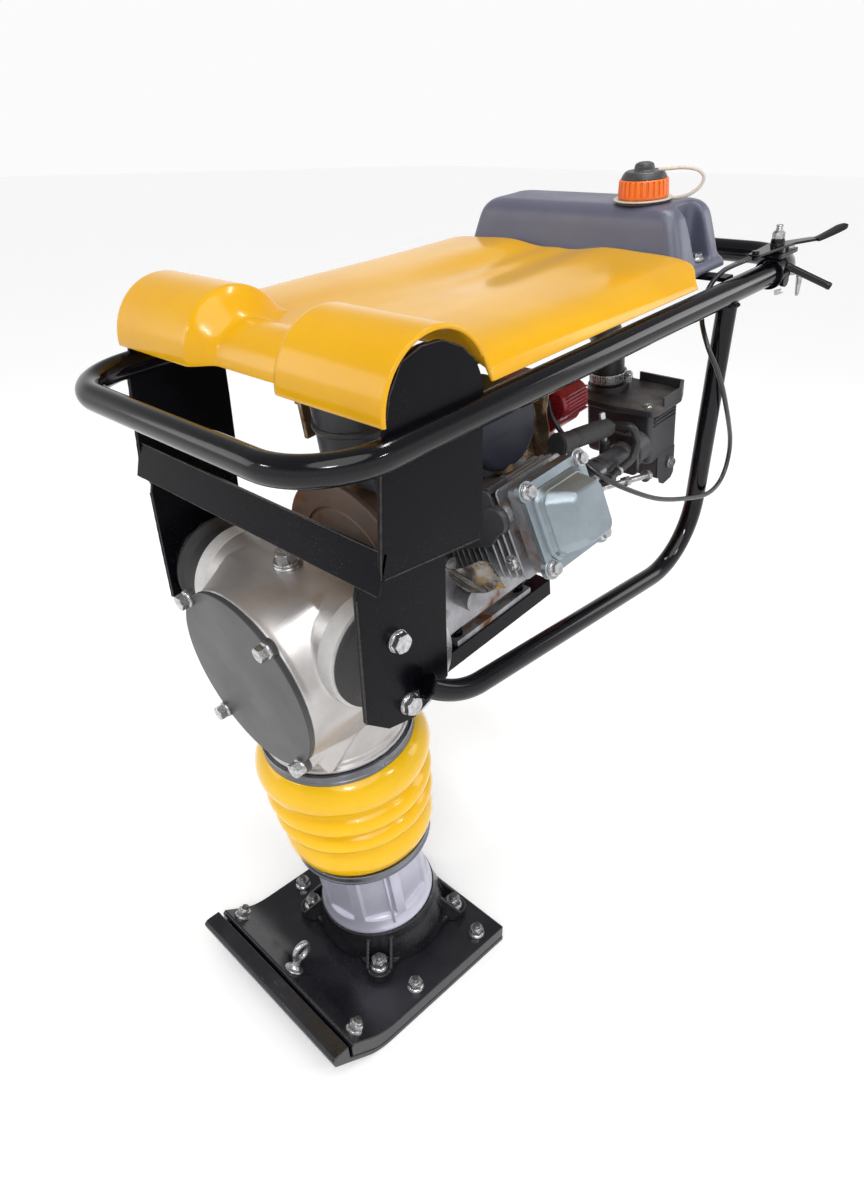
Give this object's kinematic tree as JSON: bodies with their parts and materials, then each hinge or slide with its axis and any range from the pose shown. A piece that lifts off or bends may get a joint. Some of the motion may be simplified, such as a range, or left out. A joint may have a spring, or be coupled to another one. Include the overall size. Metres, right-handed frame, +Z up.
{
  "type": "tamping rammer",
  "caption": "Upright tamping rammer: sprung shoe and leg under a gear housing, side-mounted engine, tubular handle loop with hood and rear fuel tank.",
  "frame": {"origin": "where the leg's axis meets the ground, on the flat underside of the sole", "axes": "+Z up, -Y to the toe of the shoe, +Y to the operator, +X to the engine cylinder's side"},
  "size_m": [0.483, 0.7913, 1.0021],
  "materials": {
    "bare_steel": "machined steel",
    "black_painted_casting": "black painted casting",
    "black_painted_steel": "gloss black paint",
    "black_plastic": "textured black moulding",
    "black_rubber": "matt rubber",
    "blower_red": "dark red",
    "cap_orange": "orange moulding with black centre",
    "cast_aluminium": "silver painted casting",
    "clutch_bronze": "brown-grey metallic paint",
    "engine_aluminium": "raw die casting",
    "muffler_charcoal": "charcoal heat paint",
    "shield_gold": "yellow-passivated sheet",
    "shoe_block_black": "black laminated block, semi-gloss",
    "spring_steel": "oiled spring steel",
    "tank_plastic": "slate grey polyethylene",
    "yellow_bellows": "glossy polyurethane",
    "yellow_hood": "gloss yellow-orange",
    "zinc_steel": "bright zinc plate"
  },
  "bodies": {
    "shoe": {"sole_plate": "black_painted_steel", "shoe_block": "shoe_block_black", "sole_bolts": "zinc_steel", "eye_bolt": "zinc_steel", "foot_casting": "black_painted_casting", "foot_nuts": "zinc_steel", "spring_cylinder": "cast_aluminium", "lower_ring": "black_painted_steel", "ram_springs": "spring_steel"},
    "upper": {"gear_housing": "cast_aluminium", "housing_cover": "cast_aluminium", "cover_bolts": "zinc_steel", "oil_plug": "zinc_steel", "bearings": "bare_steel", "guide_cylinder": "bare_steel", "upper_ring": "bare_steel", "bellows": "yellow_bellows", "rubber_mounts": "black_rubber", "clutch_housing": "clutch_bronze", "bed_plate": "black_painted_steel", "engine_crankcase": "engine_aluminium", "cylinder_barrel": "engine_aluminium", "cylinder_head": "engine_aluminium", "valve_cover": "engine_aluminium", "valve_cover_bolts": "zinc_steel", "muffler": "muffler_charcoal", "engine_brackets": "shield_gold", "spark_plug_boot": "black_rubber", "breather_hose": "black_rubber", "carburetor": "black_plastic", "air_box": "black_plastic", "air_box_lid": "black_plastic", "intake_duct": "black_rubber", "hose_clamp": "zinc_steel", "air_filter_canister": "black_plastic", "blower_housing": "blower_red", "recoil_cover": "blower_red"},
    "crankshaft": {"crankshaft": "bare_steel", "clutch_shoes": "bare_steel", "flywheel": "engine_aluminium"},
    "clutch_drum": {"clutch_drum": "bare_steel"},
    "crank_gear": {"crank_gear": "bare_steel"},
    "plunger": {"plunger": "bare_steel"},
    "connecting_rod": {"connecting_rod": "bare_steel"},
    "recoil_handle": {"recoil_handle": "black_plastic"},
    "choke_lever": {"choke_lever": "engine_aluminium"},
    "frame": {"handle_loop": "black_painted_steel", "side_plates": "black_painted_steel", "cross_strap": "black_painted_steel", "guard_tubes": "black_painted_steel", "hood": "yellow_hood", "fuel_tank": "tank_plastic", "tank_straps": "black_painted_steel", "mount_plates": "bare_steel", "mount_bolts": "zinc_steel", "throttle_clamp": "black_painted_steel", "lever_pivot": "zinc_steel", "throttle_cable": "black_rubber"},
    "fuel_cap": {"fuel_cap": "cap_orange"},
    "throttle_lever": {"throttle_lever": "black_painted_steel"}
  },
  "joints": [
    {"name": "ram_stroke", "type": "slide", "parent": "shoe", "child": "upper", "axis": [0, -0.1635, 0.9865], "range_m": [-0.02, 0.035], "stiffness_N_per_m": 45000, "springref_m": 0.01505, "deforming": ["bellows", "ram_springs"]},
    {"name": "plunger_slide", "type": "slide", "parent": "upper", "child": "plunger", "axis": [0, -0.1635, 0.9865], "range_m": [0, 0.064], "deforming": ["ram_springs"]},
    {"name": "rod_swing", "type": "hinge", "parent": "plunger", "child": "connecting_rod", "pos_m": [0, -0.06949, 0.41928], "axis": [0, 0.9865, 0.1635], "range_deg": [-16, 16]},
    {"name": "crank_spin", "type": "hinge", "parent": "upper", "child": "crank_gear", "pos_m": [0, -0.06708, 0.53929], "axis": [0, 0.9865, 0.1635], "continuous": true},
    {"name": "drum_spin", "type": "hinge", "parent": "upper", "child": "clutch_drum", "pos_m": [0, -0.07721, 0.60046], "axis": [0, 0.9865, 0.1635], "continuous": true},
    {"name": "engine_spin", "type": "hinge", "parent": "upper", "child": "crankshaft", "pos_m": [0, 0.07866, 0.62629], "axis": [0, 0.9865, 0.1635], "continuous": true},
    {"name": "recoil_pull", "type": "slide", "parent": "upper", "child": "recoil_handle", "axis": [0, 0.9865, 0.1635], "range_m": [0, 0.35], "stiffness_N_per_m": 40, "springref_m": -0.05},
    {"name": "choke_turn", "type": "hinge", "parent": "upper", "child": "choke_lever", "pos_m": [0.152, 0.21472, 0.735], "axis": [0, -0.1635, 0.9865], "range_deg": [0, 75]},
    {"name": "handle_sway", "type": "hinge", "parent": "upper", "child": "frame", "pos_m": [0, -0.10125, 0.57488], "axis": [1, 0, 0], "range_deg": [-2, 2], "stiffness_Nm_per_rad": 4000, "springref_deg": 0.69, "deforming": ["throttle_cable"]},
    {"name": "fuel_cap_turn", "type": "hinge", "parent": "frame", "child": "fuel_cap", "pos_m": [0.08, 0.35489, 0.97517], "axis": [0, -0.1194, 0.9928], "range_deg": [0, 360]},
    {"name": "throttle_turn", "type": "hinge", "parent": "frame", "child": "throttle_lever", "pos_m": [0.2031, 0.45482, 0.91467], "axis": [0, -0.1194, 0.9928], "range_deg": [0, 40]}
  ],
  "couplings": [
    {"joint": "drum_spin", "follows": "crank_spin", "ratio": -2.875}
  ]
}
